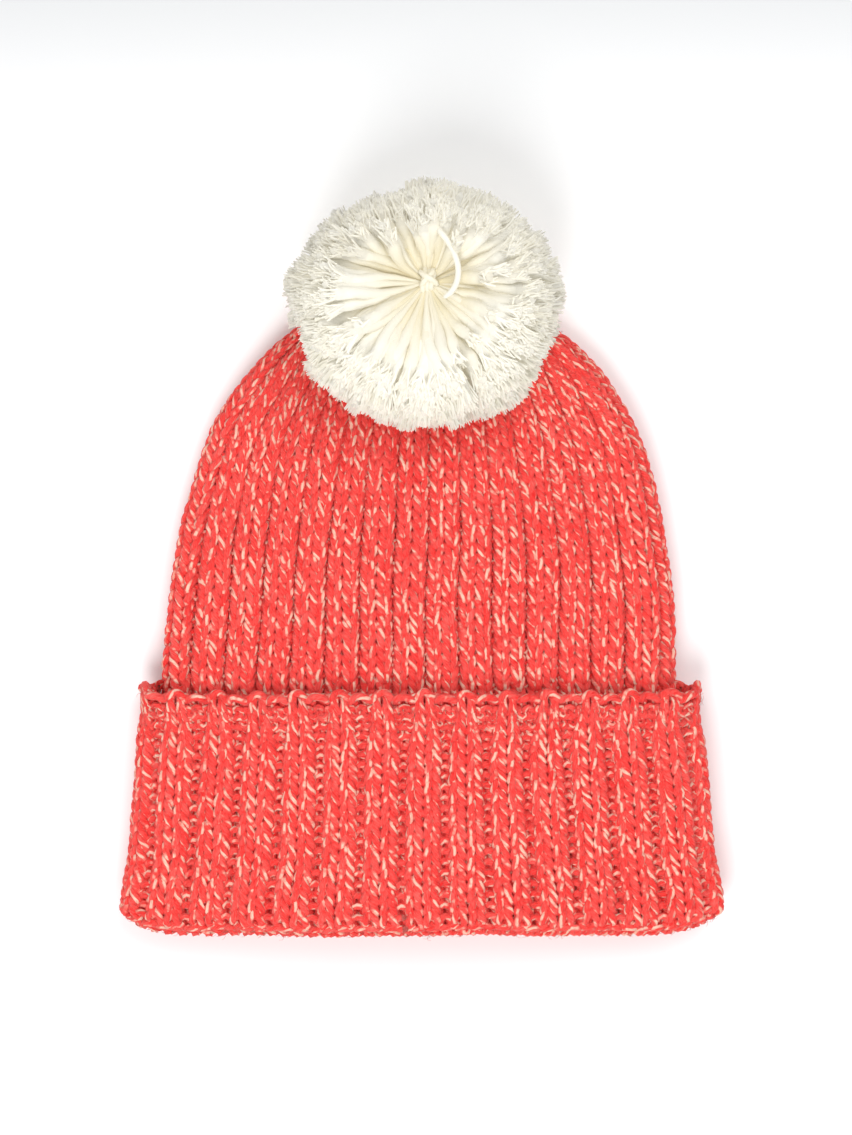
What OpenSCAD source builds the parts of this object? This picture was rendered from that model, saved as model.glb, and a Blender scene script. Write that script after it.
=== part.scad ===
// Pom pom beanie: a chunky rib-knit hat with a turned-up cuff, lying flat.
// The brim points towards -Y, the crown and the pom pom towards +Y, and the
// hat rests on its back at Z = 0. The knitted tube is drawn in sections, each
// with a front half and a back half that meet at the side folds.

/* [Knit] */
// Thickness of one relaxed layer of ribbing
knit_t = 6; // [4:0.5:8]
// Air between two layers of different bodies
gap = 0.4; // [0.3:0.1:0.8]
// Height of the flat pocket for the head, under the cuff
pocket_h = 13.6; // [8:0.2:20]

/* [Outline] */
// Y of the turning fold at the bottom of the cuff
fold_y = -143.6; // [-150:0.2:-140]
// Height of the turned-up cuff, measured along Y
cuff_h = 95; // [80:1:100]
// Y of the gathered tip of the crown
tip_y = 100; // [98:0.5:101]
// Y where the crown decreases begin
crown_y = 25; // [15:1:35]
// Height of the cast-on edge along Y
edge_h = 4; // [3:0.5:6]
// Height of the turning ridge along Y
ridge_h = 7; // [6:0.5:9]

/* [Pom pom] */
// Half of the pom pom's width
pom_rx = 52; // [45:1:55]
// Half of the pom pom's length
pom_ry = 46.6; // [42:0.2:48]
// Half of the pom pom's height
pom_rz = 39; // [36:1:42]
// Y of the pom pom's middle
pom_y = 97; // [96:0.2:98]
// Z of the pom pom's middle
pom_z = 41; // [40:0.5:44]
// Y of the tie at the heart of the pom pom
tie_y = 103.5; // [102:0.5:105]
// Radius of the tie yarn
tie_r = 1.5; // [1:0.1:2]
// Radius of the anchor yarn
anchor_r = 2; // [1.5:0.1:2.2]

/* [Hidden] */

coral = [0.95, 0.27, 0.25];
deep_coral = [0.80, 0.16, 0.16];
ivory = [0.98, 0.96, 0.88];

cuff_top_y = fold_y + cuff_h;
cuff_z = 4 * knit_t + 2 * gap + pocket_h;
split_z = cuff_z / 2;
band_lo = knit_t + gap;
band_hi = cuff_z - knit_t - gap;
pivot_y = 103;
tie_x = 3;
axis_x = 2;

// Half-width of the body against Y
BODY_W = [[fold_y, 105], [-129, 107], [-110, 104.5], [-92, 103], [-60, 101],
          [-50, 98], [-45, 97], [-18, 95.5], [6, 93], [25, 89.5], [48, 82],
          [68, 70], [78, 61.5], [85, 53.5], [91, 43], [96, 30], [99, 17], [tip_y, 8]];
// Half-width of the cuff against Y
CUFF_W = [[fold_y, 98], [-141.6, 104], [-138.5, 110], [-135.5, 113], [-129, 114.6], [-110, 111.5],
          [-92, 110], [-74, 108.5], [-60, 108.2], [-47, 108]];
// Top of the front against Y
TOP_Z = [[fold_y, band_hi], [-48, band_hi], [-20, 29.4], [25, 26], [48, 23.5],
         [68, 21], [85, 18.5], [95, 16], [tip_y, 14]];
// Underside of the back against Y
LOW_Z = [[fold_y, band_lo], [-47, band_lo], [-38, 0], [tip_y, 0]];
// Height of the side folds against Y
SPLIT_Z = [[fold_y, split_z], [-48, split_z], [-34, 16], [25, 13], [90, 9], [tip_y, 8]];

function top_of(y) = lookup(y, TOP_Z);
function low_of(y) = lookup(y, LOW_Z);
function split_of(y) = lookup(y, SPLIT_Z);
function body_of(y) = lookup(y, BODY_W);
function cuff_of(y) = lookup(y, CUFF_W);

// A flat outline through half-widths w at the stations ys, drawn in by i
function outline(ys, w, i) = concat(
  [for (k = [0:len(ys) - 1]) [max(w[k] - i, 1), ys[k]]],
  [for (k = [len(ys) - 1:-1:0]) [-max(w[k] - i, 1), ys[k]]]);
// A band in side view between the heights lo and hi at the stations ys
function band(ys, lo, hi) = concat(
  [for (k = [0:len(ys) - 1]) [ys[k], lo[k]]],
  [for (k = [len(ys) - 1:-1:0]) [ys[k], hi[k]]]);

// Extrudes a side view right across the hat
module across(points) {
  rotate([90, 0, 90]) linear_extrude(300, center = true) polygon(points);
}
// Extrudes a plan view through the height
module upright(points) {
  translate([0, 0, -5]) linear_extrude(80) polygon(points);
}

// Steps that round the side fold: from, to, drawn in by
STEPS = [[0, 0.5, 0], [0.5, 0.82, 2.4], [0.82, 1, 6.5]];

// Half of a flattened tube. mid is the fold height and far the outer surface
// at each station, side is +1 for the front and -1 for the back.
module half_tube(ys, w, mid, far, t, side) {
  n = len(ys) - 1;
  difference() {
    union() for (s = STEPS)
      intersection() {
        upright(outline(ys, w, s[2]));
        across(band(ys,
          [for (k = [0:n]) let (m = mid[k] + side * gap / 2) min(m + (far[k] - m) * s[0], m + (far[k] - m) * s[1])],
          [for (k = [0:n]) let (m = mid[k] + side * gap / 2) max(m + (far[k] - m) * s[0], m + (far[k] - m) * s[1])]));
      }
    intersection() {
      upright(outline(stretched(ys), w, t + 3));
      across(band(stretched(ys),
        [for (k = [0:n]) min(mid[k] - side * 3, far[k] - side * t)],
        [for (k = [0:n]) max(mid[k] - side * 3, far[k] - side * t)]));
    }
  }
}
// The same stations with both ends moved out, so that a cut runs right through
function stretched(ys) = [for (k = [0:len(ys) - 1])
  k == 0 ? ys[k] - 1 : k == len(ys) - 1 ? ys[k] + 1 : ys[k]];

CROWN_Y = [crown_y, 48, 68, 78, 85, 91, 96, 99, tip_y];
BODY_Y = [cuff_top_y + 0.6, -45, -38, -34, -20, 6, crown_y];
BAND_Y = [fold_y + ridge_h, -129, -110, -92, -60, cuff_top_y + 0.6];
CUFF_Y = [fold_y + ridge_h, -129, -110, -92, -74, -60, cuff_top_y - edge_h];
EDGE_Y = [cuff_top_y - edge_h, cuff_top_y];
RIDGE_Y = [fold_y, -141.6, -138.5, fold_y + ridge_h];

// Closed end of the crown: the cavity stops short of the gathered tip
module crown_half(side) {
  far = [for (y = CROWN_Y) side > 0 ? top_of(y) : low_of(y)];
  mid = [for (y = CROWN_Y) split_of(y)];
  n = len(CROWN_Y) - 1;
  inner = [crown_y - 1, 48, 68, 78, 85];
  difference() {
    union() for (s = STEPS)
      intersection() {
        upright(outline(CROWN_Y, [for (y = CROWN_Y) body_of(y)], s[2]));
        across(band(CROWN_Y,
          [for (k = [0:n]) let (m = mid[k] + side * gap / 2) min(m + (far[k] - m) * s[0], m + (far[k] - m) * s[1])],
          [for (k = [0:n]) let (m = mid[k] + side * gap / 2) max(m + (far[k] - m) * s[0], m + (far[k] - m) * s[1])]));
      }
    intersection() {
      upright(outline(inner, [for (y = inner) body_of(y)], knit_t + 3));
      across(band(inner,
        [for (y = inner) side > 0 ? split_of(y) - 3 : low_of(y) + knit_t],
        [for (y = inner) side > 0 ? top_of(y) - knit_t : split_of(y) + 3]));
    }
    // Gather hole, where the anchor yarn comes out
    if (side > 0) translate([axis_x - 6, 82, -1]) cube([12, 30, 40]);
    else translate([axis_x - 6, 82, 3.5]) cube([12, 30, 40]);
  }
}

module crown_front() { color(coral) crown_half(1); }
module crown_back() { color(deep_coral) crown_half(-1); }

module body_section(ys, side) {
  half_tube(ys, [for (y = ys) body_of(y)], [for (y = ys) split_of(y)],
            [for (y = ys) side > 0 ? top_of(y) : low_of(y)], knit_t, side);
}
module body_front() { color(coral) body_section(BODY_Y, 1); }
module body_back() { color(deep_coral) body_section(BODY_Y, -1); }
module inner_band_front() { color(deep_coral) body_section(BAND_Y, 1); }
module inner_band_back() { color(deep_coral) body_section(BAND_Y, -1); }

// The turned-up layer that lies over the body
module turned_up(ys, side) {
  difference() {
    intersection() {
      half_tube(ys, [for (y = ys) cuff_of(y)], [for (y = ys) split_z],
                [for (y = ys) side > 0 ? cuff_z : 0], knit_t, side);
      upright(outline(ys, [for (y = ys) cuff_of(y)], 0));
    }
    // Room for the layer underneath
    intersection() {
      upright(outline(stretched(ys), [for (y = ys) body_of(y) + gap], 0));
      translate([-150, -200, band_lo - gap]) cube([300, 300, band_hi - band_lo + 2 * gap]);
    }
  }
}
module cuff_front() { color(coral) turned_up(CUFF_Y, 1); }
module cuff_back() { color(deep_coral) turned_up(CUFF_Y, -1); }
module cast_on_edge_front() { color(coral) turned_up(EDGE_Y, 1); }
module cast_on_edge_back() { color(deep_coral) turned_up(EDGE_Y, -1); }

// The fold where the two layers turn into each other
module turning_ridge(side) {
  half_tube(RIDGE_Y, [for (y = RIDGE_Y) cuff_of(y)], [for (y = RIDGE_Y) split_z],
            [for (y = RIDGE_Y) side > 0 ? cuff_z : 0], 2 * knit_t + gap, side);
}
module turning_ridge_front() { color(coral) turning_ridge(1); }
module turning_ridge_back() { color(deep_coral) turning_ridge(-1); }

// Yarn that draws the last round of stitches together
module crown_gather_yarn() {
  color(deep_coral) translate([axis_x, 91, 19.6]) rotate([-14, 0, 0])
    rotate_extrude($fn = 48) translate([7.4, 0]) circle(r = 1.1, $fn = 20);
}

// Yarn from the inside of the crown to the heart of the pom pom
module pompom_anchor_yarn() {
  color(ivory) {
    translate([axis_x, 93.6, 10]) rotate([-90, 0, 0]) cylinder(r = anchor_r, h = pivot_y - 93.6, $fn = 24);
    translate([axis_x, pivot_y, 10]) cylinder(r = anchor_r, h = 26, $fn = 24);
    translate([axis_x, pivot_y, 10]) sphere(r = anchor_r, $fn = 24);
  }
}
// Knot that keeps the anchor yarn from pulling out of the crown
module anchor_knot() {
  color(ivory) translate([axis_x, 90.4, 10]) sphere(r = 3.8, $fn = 24);
}

// All the cut strands of the pom pom, as one soft ball
module pompom_strands() {
  color(ivory) difference() {
    translate([axis_x, pom_y, pom_z]) scale([pom_rx, pom_ry, pom_rz]) sphere(r = 1, $fn = 28);
    // Hollow round the tie, where the strands part
    translate([tie_x, tie_y, 44]) cylinder(r1 = 10, r2 = 26, h = 37, $fn = 28);
    // Room for the crown that it lies on, and for its tilt
    rotate([90, 0, 90]) linear_extrude(200, center = true)
      polygon([[30, -20], [30, 25.5], [104, 25.5], [122, 3.5], [150, 3.5], [150, -20]]);
    translate([axis_x, pivot_y, 0]) cylinder(r = anchor_r + 0.6, h = 36.6, $fn = 24);
  }
}
// Wraps of yarn that hold the strands at their middle
module pompom_tie() {
  color(ivory) translate([tie_x, tie_y, 43.8]) rotate([90, 0, 90])
    rotate_extrude(angle = 180, $fn = 48) translate([6, 0]) circle(r = tie_r, $fn = 20);
}
module tie_knot() {
  color(ivory) translate([tie_x, tie_y, 52.6]) sphere(r = 2.8, $fn = 24);
}
// End of the tie yarn, curled over beside the knot
module tie_tail() {
  color(ivory) translate([tie_x + 6, tie_y + 2, 54.6]) rotate([0, 0, -100])
    rotate_extrude(angle = 270, $fn = 48) translate([5.4, 0]) circle(r = tie_r, $fn = 20);
}

crown_front();
crown_back();
body_front();
body_back();
inner_band_front();
inner_band_back();
cuff_front();
cuff_back();
turning_ridge_front();
turning_ridge_back();
cast_on_edge_front();
cast_on_edge_back();
crown_gather_yarn();
pompom_anchor_yarn();
anchor_knot();
pompom_strands();
pompom_tie();
tie_knot();
tie_tail();
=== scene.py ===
import bpy
import math
import numpy as np
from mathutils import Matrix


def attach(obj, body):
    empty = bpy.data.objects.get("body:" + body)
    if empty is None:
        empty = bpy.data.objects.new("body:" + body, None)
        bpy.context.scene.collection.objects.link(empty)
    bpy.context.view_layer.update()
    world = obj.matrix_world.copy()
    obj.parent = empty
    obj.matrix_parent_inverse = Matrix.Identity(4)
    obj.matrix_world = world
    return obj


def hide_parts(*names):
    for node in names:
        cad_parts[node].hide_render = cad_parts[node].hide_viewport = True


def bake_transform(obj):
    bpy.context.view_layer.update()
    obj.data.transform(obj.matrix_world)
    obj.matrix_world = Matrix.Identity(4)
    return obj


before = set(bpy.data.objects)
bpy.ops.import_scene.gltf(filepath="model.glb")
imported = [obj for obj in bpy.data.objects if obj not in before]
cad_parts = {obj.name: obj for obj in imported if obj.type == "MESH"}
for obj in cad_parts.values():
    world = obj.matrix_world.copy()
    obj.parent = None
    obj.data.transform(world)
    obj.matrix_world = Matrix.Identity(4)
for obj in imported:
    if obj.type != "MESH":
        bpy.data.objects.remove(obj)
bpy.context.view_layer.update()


MM = 0.001

# ---------------------------------------------------------------- helpers


def hermite(x, xs, ys):
    """Smooth curve through given points, without overshoot."""
    xs, ys = np.asarray(xs, float), np.asarray(ys, float)
    h = np.diff(xs)
    s = np.diff(ys) / h
    m = np.zeros_like(ys)
    m[1:-1] = np.where(s[:-1] * s[1:] > 0, 2 * s[:-1] * s[1:] / (s[:-1] + s[1:] + 1e-12), 0)
    m[0], m[-1] = s[0], s[-1]
    x = np.clip(x, xs[0], xs[-1])
    k = np.clip(np.searchsorted(xs, x, side="right") - 1, 0, len(h) - 1)
    t = (x - xs[k]) / h[k]
    return (
        (2 * t**3 - 3 * t**2 + 1) * ys[k]
        + (t**3 - 2 * t**2 + t) * h[k] * m[k]
        + (-2 * t**3 + 3 * t**2) * ys[k + 1]
        + (t**3 - t**2) * h[k] * m[k + 1]
    )


def smooth(t):
    t = np.clip(t, 0, 1)
    return t * t * (3 - 2 * t)


def unit(v):
    return v / np.maximum(np.linalg.norm(v, axis=-1, keepdims=True), 1e-12)


# ------------------------------------------------- the shape of the tube, mm
# X centre, half-width, top, bottom and side-fold diameter against Y, for the
# middle of the knitted layer.
LAYER = 3.6  # from the middle of a layer to its outside, at the side

BODY_Y = [-60, -45, -18, 6, 25, 48, 68, 78, 85, 91, 96, 99, 101, 102.6]
BODY_HALF = [97.6, 97.0, 95.5, 93.0, 89.5, 82.0, 70.0, 61.5, 53.5, 43.0, 30.0, 19.0, 10.5, 4.4]
CUFF_Y = [-141, -136, -129, -110, -92, -74, -60, -49]
CUFF_HALF = [113.4, 114.8, 114.6, 111.3, 109.6, 108.2, 107.4, 107.8]
CUFF_TOP, CUFF_LOW, CUFF_FOLD = 35.0, 4.6, 21.0
BETWEEN = 6.5  # from the cuff's layer to the one it lies on


def body_half(y):
    return hermite(y, BODY_Y, BODY_HALF) - LAYER


def body_top(y):
    return hermite(y, [-50, -36, -15, 25, 48, 68, 85, 95, 102.6], [26.6, 26.6, 25.4, 23.4, 21.6, 18.8, 14.9, 11.6, 8.9])


def body_low(y):
    return hermite(y, [-50, -44, -36, -28, 80, 95, 102.6], [10.2, 9.0, 6.2, 4.9, 4.9, 5.4, 8.0])


def body_fold(y):
    return hermite(y, [-50, -30, 0, 30, 60, 85, 96, 102.6], [9.4, 12.5, 13.0, 12.0, 10.5, 7.6, 4.4, 0.9])


def lean(y):
    return np.interp(y, [-145, -45, 85], [0.5, -0.4, 2.4])


CAST_ON_Y = -50.2
FOLD_R = BETWEEN / 2
FOLD_Y = -143.6 + FOLD_R + 3.6
CUFF_ROWS, FOLD_ROWS, BAND_ROWS = 21, 3, 21
V_FOLD, V_BAND, V_BODY = 21.0, 24.0, 45.0
# Rows of the body and the crown, and their Y
BODY_ROWS = 43
ROW_Y = [(0, -50.2), (8, -16.4), (18, 25.6), (25, 54.5), (30, 72.5), (34, 84.5), (37, 92.3), (39, 96.2), (41, 99.4), (43, 101.6), (45, 102.6)]


def station(v):
    """For a row number, its Y and how far it is outside (1 cuff, 0 inner layer)."""
    v = np.asarray(v, float)
    psi = np.pi * np.clip((v - V_FOLD) / FOLD_ROWS, 0, 1)
    y_cuff = CAST_ON_Y + (FOLD_Y - CAST_ON_Y) * v / V_FOLD
    y_band = FOLD_Y + (CAST_ON_Y - FOLD_Y) * (v - V_BAND) / BAND_ROWS
    y_body = hermite(v - V_BODY, [r for r, _ in ROW_Y], [y for _, y in ROW_Y])
    y = np.where(v <= V_FOLD, y_cuff, np.where(v < V_BAND, FOLD_Y - FOLD_R * np.sin(psi), np.where(v < V_BODY, y_band, y_body)))
    outer = np.where(v <= V_FOLD, 1.0, np.where(v < V_BAND, 0.5 + 0.5 * np.cos(psi), 0.0))
    return y, outer


def loop_at(v, n=2400):
    """The closed cross-section of row v as dense points, and its length."""
    y, outer = (float(a) for a in station(v))
    half_c = float(hermite(y, CUFF_Y, CUFF_HALF)) - 3.2
    top_c, low_c, fold_c = CUFF_TOP, CUFF_LOW, CUFF_FOLD
    # The cuff stands a little off the body at its free edge
    lift = 1.6 * float(smooth((y + 62) / 12))
    top_c, low_c, fold_c, half_c = top_c + lift * 0.4, low_c, fold_c + lift, half_c + lift * 0.3
    # Corners of the turned fold are round
    corner = float(smooth((-126 - y) / 17))
    if y < CAST_ON_Y - 2:
        k = (y + 136) / 86
        half_i = float(np.interp(y, [-141, -52], [half_c - BETWEEN, 94.2]))
        half_i = min(half_i, half_c - BETWEEN)
        top_i, low_i = CUFF_TOP - BETWEEN, CUFF_LOW + BETWEEN
        fold_i = CUFF_FOLD - 2 * BETWEEN
    else:
        half_i, top_i, low_i, fold_i = float(body_half(y)), float(body_top(y)), float(body_low(y)), float(body_fold(y))
    half = half_i + (half_c - half_i) * outer
    top = top_i + (top_c - top_i) * outer
    low = low_i + (low_c - low_i) * outer
    fold = fold_i + (fold_c - fold_i) * outer
    r = max(fold / 2, 0.8)
    flat = max(half - r, 0.6)
    x = np.linspace(-flat, flat, n)
    bump = 0.5 + 0.5 * np.cos(np.pi * np.abs(x / flat) ** 1.35)
    z = low + fold + (top - low - fold) * bump
    a = np.linspace(np.pi / 2, -np.pi / 2, n // 4)[1:-1]
    right = np.stack([flat + r * np.cos(a), low + r + r * np.sin(a)], 1)
    left = np.stack([-flat - r * np.cos(a), low + r - r * np.sin(a)], 1)
    pts = np.concatenate([np.stack([x, z], 1), right, np.stack([x[::-1], np.full(n, low)], 1), left])
    seg = np.linalg.norm(np.diff(np.vstack([pts, pts[:1]]), axis=0), axis=1)
    s = np.concatenate([[0], np.cumsum(seg)])
    total = s[-1]
    s = s[:-1] - np.interp(0, x, s[:n])  # 0 at the middle of the front
    shift = float(lean(y)) * (1 - outer) + 0.5 * outer
    return pts + (shift, 0), s, total, y, outer, corner


RIBS = 30
KNOT_LO, KNOT_HI = -6.5, 7.5  # ribs seen on the front


def rho_to_s(rho, total, y, outer):
    """Arc length of a rib position: the front's ribs are a little wider than the back's on the cuff."""
    a = -0.2250 + (-0.2440 + 0.2250) * outer
    b = 0.2365 + (0.2480 - 0.2365) * outer
    r = (rho - KNOT_LO) % RIBS
    front = KNOT_HI - KNOT_LO
    f = np.where(r < front, a + (b - a) * r / front, b + (1 + a - b) * (r - front) / (RIBS - front))
    return f * total


def wobble(rho, v):
    """Slow unevenness of hand knitting: sideways, along the rib and through the layer, in mm."""
    t = 2 * np.pi * rho / RIBS
    dx = 0.55 * np.sin(3 * t + 0.31 * v) + 0.45 * np.sin(7 * t - 0.22 * v + 1.3) + 0.35 * np.sin(0.55 * v + 2 * t + 0.4)
    dy = 0.7 * np.sin(2 * t + 0.9) + 0.5 * np.sin(5 * t + 0.18 * v + 2.1) + 0.35 * np.sin(11 * t - 0.4 * v)
    dn = 0.5 * np.sin(4 * t + 0.27 * v + 0.6) + 0.4 * np.sin(9 * t + 0.35 * v + 2.6)
    return dx, dy, dn


# The middle surface on a fine grid of rib position and row number
V_STEP, R_STEP = 0.25, 1.0 / 16
V_LAST = V_BODY + BODY_ROWS + 2.0
V_GRID = np.arange(-2.0, V_LAST + V_STEP, V_STEP)
R_GRID = np.arange(0, RIBS + R_STEP / 2, R_STEP)


def build_surface():
    place = np.zeros((len(V_GRID), len(R_GRID), 3))
    pitch = np.zeros(len(V_GRID))
    for i, v in enumerate(V_GRID):
        pts, s, total, y, outer, corner = loop_at(v)
        want = rho_to_s(R_GRID, total, y, outer)
        order = np.argsort(s)
        xs = np.interp(want, s[order], pts[order, 0], period=total)
        zs = np.interp(want, s[order], pts[order, 1], period=total)
        dx, dy, dn = wobble(R_GRID, v)
        amount = float(np.interp(v, [0, 3, 40, V_BODY + 30, V_BODY + 39], [0.8, 1, 1, 1, 0.1]))
        # the fold's corners are rounded off, and the edges wave a little
        fall = smooth((np.abs(xs) - 84) / 32) ** 2 * corner * 5.5
        # the cuff's free edge sags a little lower in front than at the sides
        sag = 3.4 * smooth((zs - 16) / 14) * float(1 - smooth(v / 9.0)) * (v < V_FOLD)
        place[i, :, 0] = xs + dx * amount * 0.6
        place[i, :, 1] = y + dy * amount * 0.5 + fall - sag
        place[i, :, 2] = zs + dn * amount * 0.35
        pitch[i] = total / RIBS
    return place, pitch


SURF, PITCH = build_surface()
SURF[:, -1] = SURF[:, 0]


def surface_normals(p):
    du = np.roll(p[:, :-1], -1, 1) - np.roll(p[:, :-1], 1, 1)
    du = np.concatenate([du, du[:, :1]], 1)
    dv = np.gradient(p, axis=0)
    return unit(np.cross(du, dv))


NORM = surface_normals(SURF)


def sample(grid, rho, v):
    r = (rho % RIBS) / R_STEP
    u = np.clip((v - V_GRID[0]) / V_STEP, 0, len(V_GRID) - 1.001)
    r0, v0 = np.floor(r).astype(int), np.floor(u).astype(int)
    r0 = np.clip(r0, 0, len(R_GRID) - 2)
    fr, fv = (r - r0)[..., None], (u - v0)[..., None]
    return (
        grid[v0, r0] * (1 - fr) * (1 - fv)
        + grid[v0, r0 + 1] * fr * (1 - fv)
        + grid[v0 + 1, r0] * (1 - fr) * fv
        + grid[v0 + 1, r0 + 1] * fr * fv
    )


# ------------------------------------------------------------- the stitches
# One stitch, from its left foot over the head to its right foot: across (in
# wales), along (in rows) and out of the layer (in yarn diameters).
STITCH = np.array([
    (-0.245, -0.42, -0.34),
    (-0.135, -0.12, 0.10),
    (-0.150, 0.22, 0.44),
    (-0.235, 0.58, 0.50),
    (-0.325, 0.92, 0.38),
    (-0.330, 1.20, 0.02),
    (-0.215, 1.40, -0.34),
    (0.0, 1.47, -0.46),
    (0.215, 1.40, -0.34),
    (0.330, 1.20, 0.02),
    (0.325, 0.92, 0.38),
    (0.235, 0.58, 0.50),
    (0.150, 0.22, 0.44),
    (0.135, -0.12, 0.10),
    (0.245, -0.42, -0.34),
])
SINKER = (0.5, -0.52, -0.50)
YARN = 2.95  # diameter, mm
RIB_ROUND = 1.7


def rib_depth(v):
    """How far the knit pairs stand off the middle of the layer, in mm."""
    return float(np.interp(v, [0, 4, 19, 21, 25, 44, 46, 60, 78, 82, 88], [1.15, 1.45, 1.3, 1.05, 1.05, 1.05, 2.0, 2.1, 1.8, 1.0, 0.2]))


def catmull(p, times):
    """Points at the given parameters along a closed run of control points p (n, 3)."""
    n = len(p)
    k = np.floor(times).astype(int)
    t = (times - k)[:, None]
    a, b, c, d = p[(k - 1) % n], p[k % n], p[(k + 1) % n], p[(k + 2) % n]
    return 0.5 * (2 * b + (c - a) * t + (2 * a - 5 * b + 4 * c - d) * t**2 + (3 * b - a - 3 * c + d) * t**3)


def make_row(v, kinds, coarse, rng):
    """The yarn of one row, as a closed run of ring centres with reference normals."""
    pitch = float(np.interp(v, V_GRID, PITCH))
    # kinds: list of (rib position of the pair's middle, side, offsets in wales)
    ctrl, refs, times = [], [], []
    centres = []
    for middle, side, offsets, wale in kinds:
        for off in offsets:
            centres.append((middle, side, off, wale))
    n = len(centres)
    base = len(STITCH) + 1
    len_pair = 1.0 if len(kinds[0][2]) == 2 else 0.5
    thin = min(1.0, 0.30 + 0.70 * kinds[0][3] / 6.0)
    for i, (middle, side, off, wale) in enumerate(centres):
        jit = rng.normal(0, 1, 6)
        st = STITCH.copy()
        st[:, 0] += jit[0] * 0.018 + st[:, 0] * jit[1] * 0.05
        st[:, 1] += jit[2] * 0.035
        st[:7, 1] += jit[3] * 0.03
        st[8:, 1] += jit[4] * 0.03
        st[:, 2] += jit[5] * 0.035
        x = (off + st[:, 0]) * wale  # mm from the pair's middle
        y = v + st[:, 1]
        groove = (RIB_ROUND if v < V_BAND else 2.6) * DEPTH_NOW[0] * (np.abs(x) / (len_pair * wale)) ** 2.6
        depth = side * (rib_depth(v) * DEPTH_NOW[0] - groove + st[:, 2] * YARN * thin)
        rho = middle + x / pitch
        p = sample(SURF, rho, y) + sample(NORM, rho, y) * depth[:, None]
        ref = unit(sample(NORM, rho, y)) * side
        # sinker to the next stitch: halfway between this stitch's and the next one's
        nm, ns, no, nw = centres[(i + 1) % n]
        ends = []
        for mm_, ss_, oo_, ww_, sign in ((middle, side, off, wale, 1), (nm, ns, no, nw, -1)):
            xx = (oo_ + sign * SINKER[0]) * ww_
            rr = mm_ + xx / pitch
            dd = ss_ * (rib_depth(v) * DEPTH_NOW[0] + SINKER[2] * YARN)
            ends.append(sample(SURF, np.array([rr]), np.array([v + SINKER[1]]))[0] + sample(NORM, np.array([rr]), np.array([v + SINKER[1]]))[0] * dd)
        ctrl.append(p)
        ctrl.append((0.5 * (ends[0] + ends[1]))[None])
        refs.append(ref)
        refs.append(unit(sample(NORM, np.array([middle + off * wale / pitch]), np.array([v])))[:1] * (side if ns == side else 1.0))
    return np.concatenate(ctrl), np.concatenate(refs), base, n


DEPTH_NOW = [1.0]


def row_kinds(v):
    """What a row holds: 2x2 rib below, and the purls decreased away in the crown."""
    pitch = float(np.interp(v, V_GRID, PITCH))
    row = v - V_BODY
    wale = min(6.2, 0.468 * pitch) if v > V_FOLD else 0.402 * pitch
    out = []
    if V_FOLD <= v < V_BAND + 1:
        # the turning ridge: every stitch shows its purl side outwards
        return [((k + 0.5) / 3.0, 1, (0.0,), pitch / 3.0) for k in range(3 * RIBS)], 0.0
    if v < 4:
        # next to the cast-on the rib hasn't drawn in: the purls lie at the surface
        t = float(smooth(v / 4.0))
        shown = pitch * (0.24 + (0.402 - 0.24) * t)
        other = pitch * (0.26 + (0.40 - 0.26) * t)
        for k in range(RIBS):
            out.append((float(k), 1, (-0.5, 0.5), other))
            out.append((k + 0.5, -1, (-0.5, 0.5), shown))
        return out, 0.1 + 0.9 * t
    if row < 17:
        for k in range(RIBS):
            out.append((float(k), 1, (-0.5, 0.5), wale))
            out.append((k + 0.5, -1, (-0.5, 0.5), wale))
        return out, 1.0
    if row < 34:
        wale = 0.478 * pitch
        return [(float(k), 1, (-0.5, 0.5), wale) for k in range(RIBS)], 0.8
    return [(float(k), 1, (0.0,), 0.96 * pitch) for k in range(RIBS)], 0.25


FINE_T = np.array([0, 1, 2, 2.75, 3.5, 4.25, 5, 6, 7, 8, 9, 9.75, 10.5, 11.25, 12, 13, 14, 15.0])
COARSE_T = np.array([0, 1.5, 3, 4.5, 6, 7, 8, 9.5, 11, 12.5, 14, 15.0])


def spun(ctrl, refs, base, n, fine):
    """Ring centres along the row's control points, and the reference normals there."""
    times = []
    for i in range(n):
        t = (FINE_T if fine[i] else COARSE_T) + i * base
        times.append(t)
    times = np.concatenate(times)
    c = catmull(ctrl, times)
    k = np.floor(times).astype(int)
    f = (times - k)[:, None]
    ref = unit(refs[k % len(refs)] * (1 - f) + refs[(k + 1) % len(refs)] * f + 1e-6)
    return c, ref


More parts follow.
